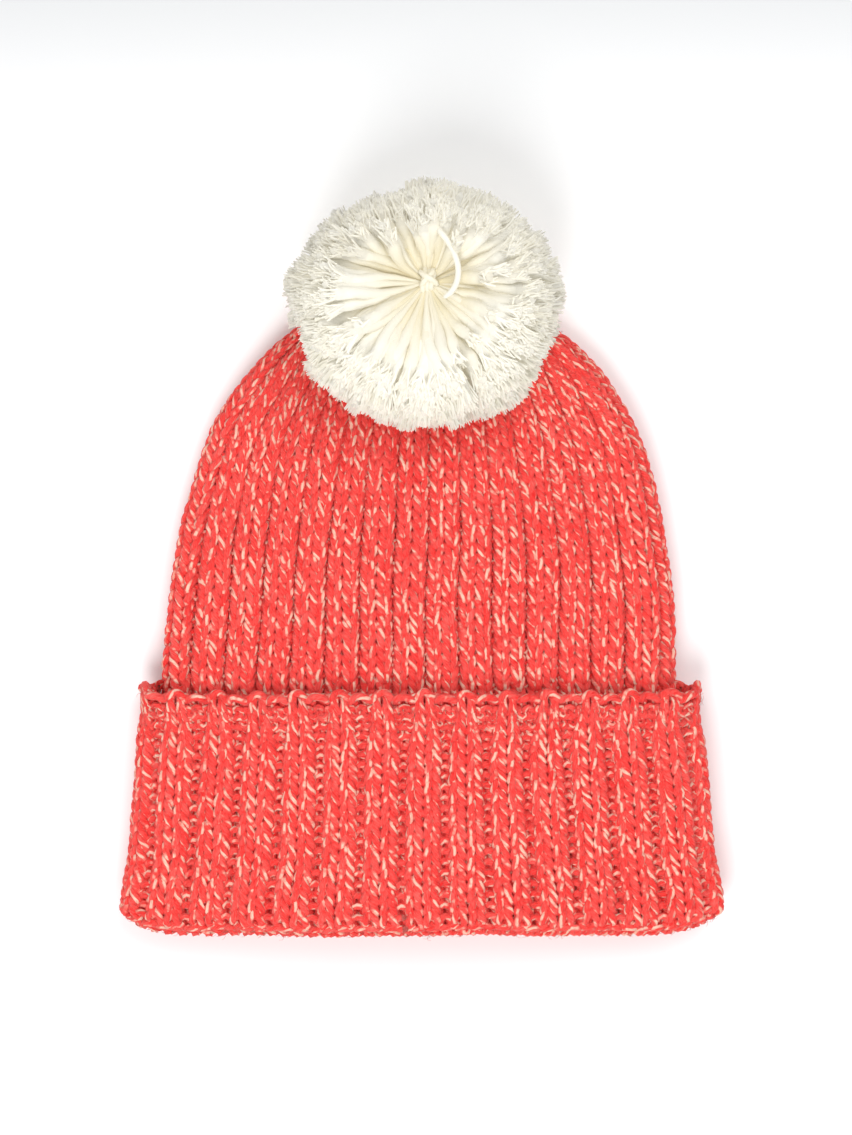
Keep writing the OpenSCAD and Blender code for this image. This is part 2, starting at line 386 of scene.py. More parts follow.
class Tubes:
    """Collects closed or open yarn tubes and turns them into one mesh."""

    def __init__(self, sides):
        self.sides = sides
        self.v, self.f, self.yarn, self.tint, self.uvseq, self.bent = [], [], [], [], [], []
        self.count = 0
        self.rings = 0

    def add(self, c, ref, radius, closed, tint, s0=0.0, flat=1.0):
        n, m = len(c), self.sides
        if closed:
            t = np.roll(c, -1, 0) - np.roll(c, 1, 0)
        else:
            t = np.gradient(c, axis=0)
        t = unit(t)
        u = ref - (ref * t).sum(1, keepdims=True) * t
        u = unit(u)
        b = np.cross(t, u)
        a = 2 * np.pi * np.arange(m) / m
        radius = np.broadcast_to(np.asarray(radius, float), (n,))
        ring = c[:, None] + radius[:, None, None] * (
            np.cos(a)[None, :, None] * u[:, None] * flat + np.sin(a)[None, :, None] * b[:, None]
        )
        step = np.linalg.norm(np.diff(c, axis=0), axis=1)
        s = s0 + np.concatenate([[0], np.cumsum(step)])
        y = np.zeros((n, m, 3))
        y[:, :, 0] = s[:, None]
        y[:, :, 1] = np.cos(a)
        y[:, :, 2] = np.sin(a)
        tint = np.broadcast_to(np.asarray(tint, float), (n,))
        start = self.count
        self.v.append(ring.reshape(-1, 3))
        self.yarn.append(y.reshape(-1, 3))
        self.tint.append(np.repeat(tint, m))
        i = np.arange(n if closed else n - 1)
        j = np.arange(m)
        i2 = (i + 1) % n
        q = np.stack([
            start + i[:, None] * m + j,
            start + i2[:, None] * m + j,
            start + i2[:, None] * m + (j + 1) % m,
            start + i[:, None] * m + (j + 1) % m,
        ], 2).reshape(-1, 4)[:, ::-1]
        self.f.append(q)
        # the place of each quad in the unrolled yarn, for the baking map
        self.uvseq.append(np.stack([np.repeat(self.rings + i, m), np.tile(j, len(i))], 1))
        self.rings += n
        self.count += n * m
        if not closed:  # rounded ends
            for end, sgn in ((0, -1), (n - 1, 1)):
                tip = c[end] + sgn * t[end] * radius[end] * 0.8
                self.v.append(tip[None])
                self.yarn.append(np.array([[s[end], 0.0, 0.0]]))
                self.tint.append(tint[end:end + 1])
                base = start + end * m
                # a fan of triangles, kept as (a, b, c, c) and cut to 3 corners below
                tri = np.stack([base + (j + 1) % m, base + j, np.full(m, self.count), np.full(m, self.count)], 1)
                if sgn > 0:
                    tri = tri[:, [1, 0, 2, 3]]
                self.f.append(tri)
                self.uvseq.append(np.stack([np.full(m, self.rings + (1 if sgn > 0 else 0)), j], 1))
                self.count += 1
            self.rings += 2
        return float(s[-1])

    def mesh(self, name, ring_mm=1.35, round_mm=9.0):
        v = np.concatenate(self.v) * MM
        f = np.concatenate(self.f)
        seq = np.concatenate(self.uvseq)
        me = bpy.data.meshes.new(name)
        me.vertices.add(len(v))
        me.vertices.foreach_set("co", v.astype(np.float32).ravel())
        tri = f[:, 2] == f[:, 3]
        size = np.where(tri, 3, 4)
        start = np.concatenate([[0], np.cumsum(size)[:-1]])
        loops = np.zeros(int(size.sum()), np.int32)
        for k in range(3):
            loops[start + k] = f[:, k]
        loops[start[~tri] + 3] = f[~tri, 3]
        me.loops.add(len(loops))
        me.loops.foreach_set("vertex_index", loops)
        me.polygons.add(len(f))
        me.polygons.foreach_set("loop_start", start.astype(np.int32))
        me.polygons.foreach_set("use_smooth", np.ones(len(f), bool))
        me.update(calc_edges=True)
        at = me.attributes.new("yarn", "FLOAT_VECTOR", "POINT")
        at.data.foreach_set("vector", np.concatenate(self.yarn).astype(np.float32).ravel())
        at = me.attributes.new("tint", "FLOAT", "POINT")
        at.data.foreach_set("value", np.concatenate(self.tint).astype(np.float32))
        # unrolled yarn laid in bands
        m = self.sides
        cols = max(1, int(math.sqrt(self.rings * round_mm / ring_mm)))
        bands = int(math.ceil(self.rings / cols))
        col, band = seq[:, 0] % cols, seq[:, 0] // cols
        uv = np.zeros((len(loops), 2), np.float32)
        lo_u, hi_u = (col + 0.04) / cols, (col + 0.96) / cols
        lo_u, hi_u = col / cols, (col + 1) / cols
        band_lo = (band + 0.03) / bands
        cell = 0.94 / bands / m
        j = seq[:, 1]
        v0, v1 = band_lo + j * cell, band_lo + (j + 1) * cell
        # quads were reversed: corners are (i, j+1), (i+1, j+1), (i+1, j), (i, j)
        uv[start] = np.stack([lo_u, v1], 1)
        uv[start + 1] = np.stack([hi_u, v1], 1)
        uv[start + 2] = np.stack([hi_u, v0], 1)
        uv[start[~tri] + 3] = np.stack([lo_u, v0], 1)[~tri]
        layer = me.uv_layers.new(name="OFBake")
        layer.uv.foreach_set("vector", uv.ravel())
        me.validate()
        if self.bent:
            me.normals_split_custom_set_from_vertices(np.concatenate(self.bent).astype(np.float32))
        return me


def piece(name, me, material, nodes):
    ob = bpy.data.objects.new(name, me)
    bpy.context.collection.objects.link(ob)
    me.materials.append(material)
    if nodes:
        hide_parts(*nodes)
    return ob


# ---------------------------------------------------------------- materials


class Nodes:
    def __init__(self, name):
        self.m = bpy.data.materials.new(name)
        self.m.use_nodes = True
        self.t = self.m.node_tree
        self.t.nodes.clear()
        self.out = self.t.nodes.new("ShaderNodeOutputMaterial")
        self.p = self.t.nodes.new("ShaderNodeBsdfPrincipled")
        self.t.links.new(self.p.outputs[0], self.out.inputs[0])

    def put(self, sock, value):
        if hasattr(value, "links") or isinstance(value, bpy.types.NodeSocket):
            self.t.links.new(value, sock)
        else:
            sock.default_value = value

    def math(self, op, a, b=0.0, c=0.0, clamp=False):
        n = self.t.nodes.new("ShaderNodeMath")
        n.operation = op
        n.use_clamp = clamp
        for i, x in enumerate((a, b, c)):
            self.put(n.inputs[i], x)
        return n.outputs[0]

    def noise(self, vec, scale, detail=2.0, rough=0.5, dims="3D", w=0.0):
        n = self.t.nodes.new("ShaderNodeTexNoise")
        n.noise_dimensions = dims
        if dims == "1D":
            self.put(n.inputs["W"], vec)
        else:
            self.put(n.inputs["Vector"], vec)
        n.inputs["Scale"].default_value = scale
        n.inputs["Detail"].default_value = detail
        n.inputs["Roughness"].default_value = rough
        return n.outputs[0]

    def ramp(self, fac, stops):
        n = self.t.nodes.new("ShaderNodeValToRGB")
        e = n.color_ramp.elements
        while len(e) > 1:
            e.remove(e[-1])
        e[0].position, e[0].color = stops[0][0], (*stops[0][1], 1)
        for pos, col in stops[1:]:
            x = e.new(pos)
            x.color = (*col, 1)
        self.put(n.inputs[0], fac)
        return n.outputs[0]

    def step(self, x, lo, hi):
        n = self.t.nodes.new("ShaderNodeMapRange")
        n.interpolation_type = "SMOOTHSTEP"
        self.put(n.inputs["Value"], x)
        n.inputs["From Min"].default_value = lo
        n.inputs["From Max"].default_value = hi
        return n.outputs[0]

    def mix(self, fac, a, b):
        n = self.t.nodes.new("ShaderNodeMix")
        n.data_type = "RGBA"
        self.put(n.inputs[0], fac)
        self.put(n.inputs[6], a if not isinstance(a, tuple) else (*a, 1))
        self.put(n.inputs[7], b if not isinstance(b, tuple) else (*b, 1))
        return n.outputs[2]

    def combine(self, x, y, z):
        n = self.t.nodes.new("ShaderNodeCombineXYZ")
        for i, k in enumerate((x, y, z)):
            self.put(n.inputs[i], k)
        return n.outputs[0]

    def attribute(self, name):
        n = self.t.nodes.new("ShaderNodeAttribute")
        n.attribute_name = name
        return n

    def bump(self, height, strength, distance):
        n = self.t.nodes.new("ShaderNodeBump")
        n.inputs["Strength"].default_value = strength
        n.inputs["Distance"].default_value = distance
        self.put(n.inputs["Height"], height)
        return n.outputs[0]

    def split(self, vec):
        n = self.t.nodes.new("ShaderNodeSeparateXYZ")
        self.put(n.inputs[0], vec)
        return n.outputs


def marled_material(name="marled_coral_yarn"):
    k = Nodes(name)
    s, ca, sa = k.split(k.attribute("yarn").outputs["Vector"])
    tint = k.attribute("tint").outputs["Fac"]
    ang = k.math("ARCTAN2", sa, ca)  # 0 faces out of the layer
    # the cream ply winds slowly round the red ones, so it shows once a stitch
    drift = k.math("MULTIPLY", k.noise(k.math("MULTIPLY", s, 0.05), 1.0, 1.0, 0.5, "1D"), 6.0)
    turn = k.math("ADD", k.math("MULTIPLY", s, -2 * math.pi / 17.0), drift)
    phase = k.math("SUBTRACT", ang, turn)
    facing = k.math("COSINE", k.math("MULTIPLY", phase, 2.0))
    which = k.math("MULTIPLY", k.math("SIGN", k.math("COSINE", phase)), 5.3)
    along = k.noise(k.combine(k.math("MULTIPLY", s, 0.30), k.math("MULTIPLY", tint, 37.0), which), 1.0, 2.0, 0.6)
    # fibres, drawn out along the twisted yarn
    fib_a = k.math("ADD", ang, k.math("MULTIPLY", s, 2 * math.pi / 11.0))
    fibre_at = k.combine(
        k.math("MULTIPLY", k.math("COSINE", fib_a), 3.2),
        k.math("MULTIPLY", k.math("SINE", fib_a), 3.2),
        k.math("MULTIPLY", s, 0.28),
    )
    fibre = k.noise(fibre_at, 2.4, 5.0, 0.66)
    rough = k.math("MULTIPLY", k.math("SUBTRACT", fibre, 0.5), 1.1)
    wide = k.step(k.math("ADD", facing, rough), 0.38, 0.90)
    on = k.step(along, 0.40, 0.58)
    cream = k.math("MULTIPLY", wide, on)
    shade = k.noise(k.combine(k.math("MULTIPLY", s, 0.11), k.math("MULTIPLY", tint, 91.0), 0.0), 1.0, 2.0, 0.5)
    mixed = k.math("ADD", k.math("MULTIPLY_ADD", fibre, 1.4, -0.39), k.math("MULTIPLY", shade, 0.38))
    red = k.ramp(mixed, [
        (0.28, (0.79, 0.013, 0.013)),
        (0.43, (0.92, 0.043, 0.038)),
        (0.56, (0.99, 0.092, 0.078)),
        (0.72, (1.00, 0.180, 0.155)),
    ])
    pale = k.ramp(fibre, [(0.3, (0.86, 0.33, 0.24)), (0.5, (0.98, 0.58, 0.44)), (0.70, (1.0, 0.76, 0.62))])
    colour = k.mix(cream, red, pale)
    k.put(k.p.inputs["Base Color"], colour)
    k.p.inputs["Roughness"].default_value = 0.86
    k.p.inputs["Specular IOR Level"].default_value = 0.18
    k.p.inputs["Sheen Weight"].default_value = 0.28
    k.p.inputs["Sheen Roughness"].default_value = 0.45
    k.p.inputs["Sheen Tint"].default_value = (1.0, 0.53, 0.49, 1)
    # plies: a three-ply rope bump, plus the fibres
    ply = k.math("COSINE", k.math("MULTIPLY", k.math("ADD", ang, k.math("MULTIPLY", s, 2 * math.pi / 13.0)), 3.0))
    height = k.math("ADD", k.math("MULTIPLY", ply, 0.5), k.math("MULTIPLY", fibre, 1.1))
    k.put(k.p.inputs["Normal"], k.bump(height, 0.8, 0.0006))
    return k.m


def ivory_material(name, bright, depth, painted_glow):
    k = Nodes(name)
    s, ca, sa = k.split(k.attribute("yarn").outputs["Vector"])
    tint = k.attribute("tint").outputs["Fac"]
    ang = k.math("ARCTAN2", sa, ca)
    fib_a = k.math("SUBTRACT", ang, k.math("MULTIPLY", s, 2 * math.pi / 18.0))
    at = k.combine(
        k.math("MULTIPLY", k.math("COSINE", fib_a), 3.0),
        k.math("MULTIPLY", k.math("SINE", fib_a), 3.0),
        k.math("ADD", k.math("MULTIPLY", s, 0.16), k.math("MULTIPLY", tint, 53.0)),
    )
    fibre = k.noise(at, 2.2, 3.0, 0.6)
    # the lowest stops are yellowish painted shade, used by the pom pom strands near the tie; the upper stops are the
    # yarn's own ivory tones
    col = k.ramp(k.math("ADD", k.math("MULTIPLY", k.math("SUBTRACT", fibre, 0.5), 0.35), tint), [
        (at, tuple(depth * c for c in shade))
        for at, shade in (
            (0.10, (0.82, 0.72, 0.46)),
            (0.32, (0.89, 0.83, 0.65)),
            (0.58, (0.94, 0.90, 0.78)),
            (0.85, (0.99, 0.965, 0.87)),
            (1.00, (1.0, 0.98, 0.90)),
        )
    ])
    k.put(k.p.inputs["Base Color"], col)
    k.p.inputs["Roughness"].default_value = 0.9
    k.p.inputs["Specular IOR Level"].default_value = 0.12
    k.p.inputs["Sheen Weight"].default_value = 0.25
    k.p.inputs["Sheen Roughness"].default_value = 0.5
    if bright:
        k.put(k.p.inputs["Normal"], k.bump(fibre, 0.5, 0.0005))
    # painted glow: a warm emission stands in for light scattered through the wool, lightening the shaded parts and
    # warming their shadows
    k.p.inputs["Emission Color"].default_value = (1.0, 0.92, 0.68, 1)
    k.p.inputs["Emission Strength"].default_value = painted_glow
    return k.m


MARL = marled_material()
# the last number of each is the strength of its painted glow
IVORY = ivory_material("ivory_pompom_yarn", True, 0.77, 0.13)
IVORY_FIBRE = ivory_material("ivory_pompom_fibre", False, 0.885, 0.235)
IVORY_TIE = ivory_material("ivory_tie_yarn", True, 0.86, 0.05)

# -------------------------------------------------------------- the hat knit

rng = np.random.default_rng(20)
ALL_KNIT = []


def knit_piece(name, rows, nodes, fine_side, sides):
    """Rows of one section. fine_side is the side of the layer that shows."""
    tubes = Tubes(sides)
    for v in rows:
        kinds, depth = row_kinds(v)
        DEPTH_NOW[0] = depth
        ctrl, refs, base, n = make_row(float(v), kinds, False, rng)
        fine = []
        for middle, side, offsets, wale in kinds:
            fine += [fine_side == 0 or side == fine_side] * len(offsets)
        if fine_side is None:
            fine = [False] * n
        c, ref = spun(ctrl, refs, base, n, fine)
        pitch = float(np.interp(v, V_GRID, PITCH))
        wale = kinds[0][3]
        radius = YARN / 2 * min(1.0, 0.30 + 0.70 * wale / 6.0)
        tint = rng.random()
        tubes.add(c, ref, radius, True, tint, s0=rng.random() * 400)
    if name == "cuff_knit_upper":
        cast_on(tubes)
    me = tubes.mesh(name)
    ob = piece(name, me, MARL, nodes)
    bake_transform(ob)
    ALL_KNIT.append(ob)
    return ob


def cast_on(tubes):
    """The cast-on strand: bars over the purls, arches over the knit pairs."""
    bar = [(-0.235, -0.05, 0.10), (-0.13, -0.30, 0.62), (0.0, -0.38, 0.72), (0.13, -0.30, 0.62), (0.235, -0.05, 0.10),
           (0.315, -0.34, 0.14), (0.40, -0.66, 0.10), (0.5, -0.78, 0.08), (0.60, -0.66, 0.10), (0.685, -0.34, 0.14)]
    pts, ref = [], []
    for k in range(RIBS):
        j = rng.normal(0, 1, (len(bar), 3)) * (0.006, 0.05, 0.05)
        b = np.array(bar) + j
        rho, v = k + b[:, 0], b[:, 1]
        n = sample(NORM, rho, v)
        pts.append(sample(SURF, rho, v) - n * (b[:, 2] * YARN + 0.2)[:, None])
        ref.append(-n)
    pts, ref = np.concatenate(pts), np.concatenate(ref)
    t = np.arange(0, len(pts), 0.4)
    c = catmull(pts, t)
    k = np.floor(t).astype(int)
    tubes.add(c, ref[k], 1.5, True, 0.5, s0=17.0)


FB = lambda *names: [f"{n}_{side}" for n in names for side in ("front", "back")]
knit_piece("cuff_knit_upper", range(0, 8), FB("cuff", "cast_on_edge"), -1, 7)
knit_piece("cuff_knit_middle", range(8, 15), FB("cuff"), -1, 7)
knit_piece("cuff_knit_lower", range(15, 21), FB("cuff"), -1, 7)
knit_piece("turning_ridge_knit", range(21, 25), FB("turning_ridge"), 0, 7)
knit_piece("inner_band_knit", range(25, 45), FB("inner_band"), None, 5)
knit_piece("body_knit_lower", range(45, 54), FB("body"), 1, 7)
knit_piece("body_knit_upper", range(54, 62), FB("body"), 1, 7)
knit_piece("crown_knit_lower", range(62, 71), FB("crown"), 1, 7)
knit_piece("crown_knit_upper", range(71, 88), FB("crown"), 1, 7)

# ------------------------------------------------------------- the pom pom


def add_many(tubes, c, ref, radius, tint, s0, bent=None, share=0.6):
    """Many open tubes at once: ring centres c (N, R, 3), radii (N, R), closed with a point at both ends."""
    n, rings, _ = c.shape
    m = tubes.sides
    t = unit(np.gradient(c, axis=1))
    u = unit(ref[:, None] - (ref[:, None] * t).sum(2, keepdims=True) * t)
    b = np.cross(t, u)
    a = 2 * np.pi * np.arange(m) / m
    ring = c[:, :, None] + radius[:, :, None, None] * (np.cos(a)[:, None] * u[:, :, None] + np.sin(a)[:, None] * b[:, :, None])
    s = np.concatenate([np.zeros((n, 1)), np.cumsum(np.linalg.norm(np.diff(c, axis=1), axis=2), 1)], 1) + s0[:, None]
    y = np.zeros((n, rings, m, 3))
    y[..., 0] = s[:, :, None]
    y[..., 1] = np.cos(a)
    y[..., 2] = np.sin(a)
    per = rings * m + 2
    verts = np.zeros((n, per, 3))
    yarn = np.zeros((n, per, 3))
    verts[:, : rings * m] = ring.reshape(n, -1, 3)
    yarn[:, : rings * m] = y.reshape(n, -1, 3)
    verts[:, -2] = c[:, 0] - t[:, 0] * radius[:, :1] * 0.7
    verts[:, -1] = c[:, -1] + t[:, -1] * radius[:, -1:] * 1.2
    yarn[:, -2, 0], yarn[:, -1, 0] = s[:, 0], s[:, -1]
    i, j = np.arange(rings - 1), np.arange(m)
    j2 = (j + 1) % m
    quad = np.stack([i[:, None] * m + j, (i[:, None] + 1) * m + j, (i[:, None] + 1) * m + j2, i[:, None] * m + j2], 2).reshape(-1, 4)[:, ::-1]
    top = (rings - 1) * m
    fan0 = np.stack([j2, j, np.full(m, per - 2), np.full(m, per - 2)], 1)
    fan1 = np.stack([top + j, top + j2, np.full(m, per - 1), np.full(m, per - 1)], 1)
    one = np.concatenate([quad, fan0, fan1])
    seq = np.concatenate([
        np.stack([np.repeat(i, m), np.tile(j, len(i))], 1),
        np.stack([np.full(m, rings - 1), j], 1),
        np.stack([np.full(m, rings), j], 1),
    ])
    tubes.v.append(verts.reshape(-1, 3))
    tubes.yarn.append(yarn.reshape(-1, 3))
    if tint.ndim == 1:
        tubes.tint.append(np.repeat(tint, per))
    else:
        shades = np.concatenate([np.repeat(tint, m, axis=1), tint[:, :1], tint[:, -1:]], 1)
        tubes.tint.append(shades.reshape(-1))
    if bent is not None:
        around = np.cos(a)[:, None] * u[:, :, None] + np.sin(a)[:, None] * b[:, :, None]
        nn = np.zeros((n, per, 3))
        w = np.broadcast_to(np.asarray(share, float), (n, rings))[:, :, None, None]
        nn[:, : rings * m] = (around * (1 - w) + bent[:, :, None] * w).reshape(n, -1, 3)
        nn[:, -2], nn[:, -1] = bent[:, 0], bent[:, -1]
        tubes.bent.append(unit(nn).reshape(-1, 3))
    tubes.f.append((one[None] + (tubes.count + per * np.arange(n))[:, None, None]).reshape(-1, 4))
    q = np.repeat(seq[None], n, 0)
    q[:, :, 0] += (tubes.rings + (rings + 1) * np.arange(n))[:, None]
    tubes.uvseq.append(q.reshape(-1, 2))
    tubes.count += n * per
    tubes.rings += n * (rings + 1)


BALL = np.array((2.0, 95.8, 41.0))
BALL_R = np.array((49.5, 44.0, 36.5))
STAR = np.array((2.8, 103.5))


def outline_reach(phi):
    """How far the ball's outline is from the tie, seen from above, in direction phi."""
    d = np.stack([np.cos(phi), np.sin(phi)], -1)
    o = (STAR - BALL[:2]) / BALL_R[:2]
    d = d / BALL_R[:2]
    a, b, c = (d * d).sum(-1), 2 * (o * d).sum(-1), (o * o).sum() - 1
    return (-b + np.sqrt(b * b - 4 * a * c)) / (2 * a)


def resting(y):
    """The strands lie on the crown, and hang past its tip."""
    return np.interp(y, [40, 55, 70, 85, 101, 112, 122], [28.5, 27.6, 25.5, 22.0, 15.5, 8.0, 3.0])


def bezier(p, t):
    a, b, c, d = p
    t = t[:, :, None]
    return (1 - t) ** 3 * a[:, None] + 3 * (1 - t) ** 2 * t * b[:, None] + 3 * (1 - t) * t**2 * c[:, None] + t**3 * d[:, None]


def open_yarn(name, points, radius, nodes, body, sides=9, step=0.25, ref=(0.1, 0.2, 1.0), material=None, shade=0.5):
    """One or more open strands through control points in mm."""
    tubes = Tubes(sides)
    for k, run in enumerate(points):
        p = np.array(run, float)
        p = np.concatenate([[2 * p[0] - p[1]], p, [2 * p[-1] - p[-2]]])
        t = np.arange(1, len(p) - 2 + 1e-6, step)
        c = catmull(p, np.minimum(t, len(p) - 2 - 1e-6))
        u = (t - 1) / (len(p) - 3)
        r = radius * (0.75 + 0.25 * smooth(u / 0.1)) * (1 - 0.3 * smooth((u - 0.88) / 0.12))
        tubes.add(c, np.tile(unit(np.array(ref)), (len(c), 1)), r, False, shade + 0.05 * k, s0=40.0 * k)
    ob = piece(name, tubes.mesh(name), material or IVORY_TIE, nodes)
    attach(ob, body)
    return ob


def small_parts():
    r0 = np.random.default_rng(5)
    # the tie: three turns of yarn squeezed round the middle of the bundle
    arches = []
    for dx in (-1.5, 0.2, 1.7):
        a = np.linspace(-0.35 * np.pi, 1.35 * np.pi, 12)
        arches.append([(3 + dx + 0.5 * np.sin(2 * q), 104.4 + 4.2 * np.cos(q) * (1 - 0.1 * dx), 47.4 + 4.4 * np.sin(q)) for q in a])
    open_yarn("pompom_tie_turns", arches, 1.0, ("pompom_tie",), "pompom")
    knot = [
        [(0.6, 101.8, 50.4), (1.4, 103.4, 52.6), (3.2, 105.2, 53.6), (4.6, 106.9, 52.6), (5.0, 108.4, 50.4)],
        [(6.4, 102.6, 50.6), (5.2, 103.8, 52.8), (3.4, 104.9, 54.2), (1.6, 106.0, 53.0), (0.0, 107.6, 50.6)],
    ]
    open_yarn("pompom_tie_knot", knot, 1.05, ("tie_knot",), "pompom")
    tail = [[(6.2, 124.0, 59.0), (7.8, 121.0, 64.0), (10.4, 117.6, 63.8), (12.8, 113.2, 61.6), (14.2, 108.2, 60.6),
             (13.8, 103.2, 60.6), (11.8, 99.4, 61.0), (9.2, 97.2, 61.0)]]
    open_yarn("pompom_tie_tail", tail, 1.15, ("tie_tail",), "pompom", shade=0.7)
    # the yarn that holds the pom pom to the crown, and its knot inside
    anchor = [[(2, 90.4, 10.4), (2, 94, 10), (2, 98.5, 10), (2, 102.2, 12.5), (2.2, 103.2, 17), (2.4, 103.3, 24), (2.4, 103.4, 31), (2.6, 103.4, 37), (2.8, 103.6, 43)]]
    open_yarn("pompom_anchor_yarn_twist", anchor, 1.5, ("pompom_anchor_yarn",), "pompom_anchor", ref=(1, 0.1, 0))
    turns = []
    for k in range(3):
        a = np.linspace(0, 2.1 * np.pi, 14) + k * 2.1
        tilt = (k - 1) * 0.9
        turns.append([(2 + 2.7 * np.cos(q), 90.4 + 2.7 * np.sin(q) * np.cos(tilt), 10 + 2.7 * np.sin(q) * np.sin(tilt) + 0.4 * k) for q in a])
    open_yarn("anchor_knot_turns", turns, 1.25, ("anchor_knot",), "pompom_anchor")
    # the gathering yarn: threaded through the crown's last loops and pulled tight
    a = np.linspace(0, 2 * np.pi * 0.985, 40)
    ring = [[(2 + 7.4 * np.cos(q), 91 + 7.2 * np.sin(q), 19.6 - 7.2 * np.sin(q) * math.sin(math.radians(14)) + 0.5 * np.sin(6 * q)) for q in a]]
    ob = open_yarn("crown_gather_yarn_drawn", ring, 1.1, ("crown_gather_yarn",), "front_half", material=MARL)


small_parts()


def fuzz():
    """Loose fibres that stand off the yarn."""
    r = np.random.default_rng(3)
    n = 9000
    v = np.concatenate([r.uniform(-0.5, V_BAND, n * 42 // 100), r.uniform(V_BODY + 1, V_BODY + 36, n - n * 42 // 100)])
    rho = r.uniform(0, RIBS, n)
    side = np.where(v < V_BAND, -1.0, 1.0)
    p = sample(SURF, rho, v)
    nrm = sample(NORM, rho, v) * side[:, None]
    a = r.uniform(0, 6.28, n)
    tx = unit(np.cross(nrm, (0.2, 0.1, 0.97)))
    ty = np.cross(nrm, tx)
    d = tx * np.cos(a)[:, None] + ty * np.sin(a)[:, None]
    bend = r.normal(0, 0.9, n)
    long = r.uniform(1.3, 3.0, n)
    lift = r.uniform(0.15, 0.6, n)
    g = np.linspace(0, 1, 4)
    ang = bend[:, None] * g
    e = np.cross(nrm, d)
    run = d[:, None] * np.cos(ang)[..., None] + e[:, None] * np.sin(ang)[..., None]
    c = p[:, None] + nrm[:, None] * (2.0 + lift[:, None] * long[:, None] * np.sin(np.pi * 0.62 * g))[..., None] + run * (long[:, None] * g)[..., None]
    rad = np.full((n, 4), 0.075) * (1 - 0.45 * g)
    tubes = Tubes(3)
    add_many(tubes, c, nrm, rad, r.random(n), r.random(n) * 500)
    ob = piece("loose_knit_fibres", tubes.mesh("loose_knit_fibres"), MARL, FB("cuff", "body", "crown"))
    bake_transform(ob)


fuzz()


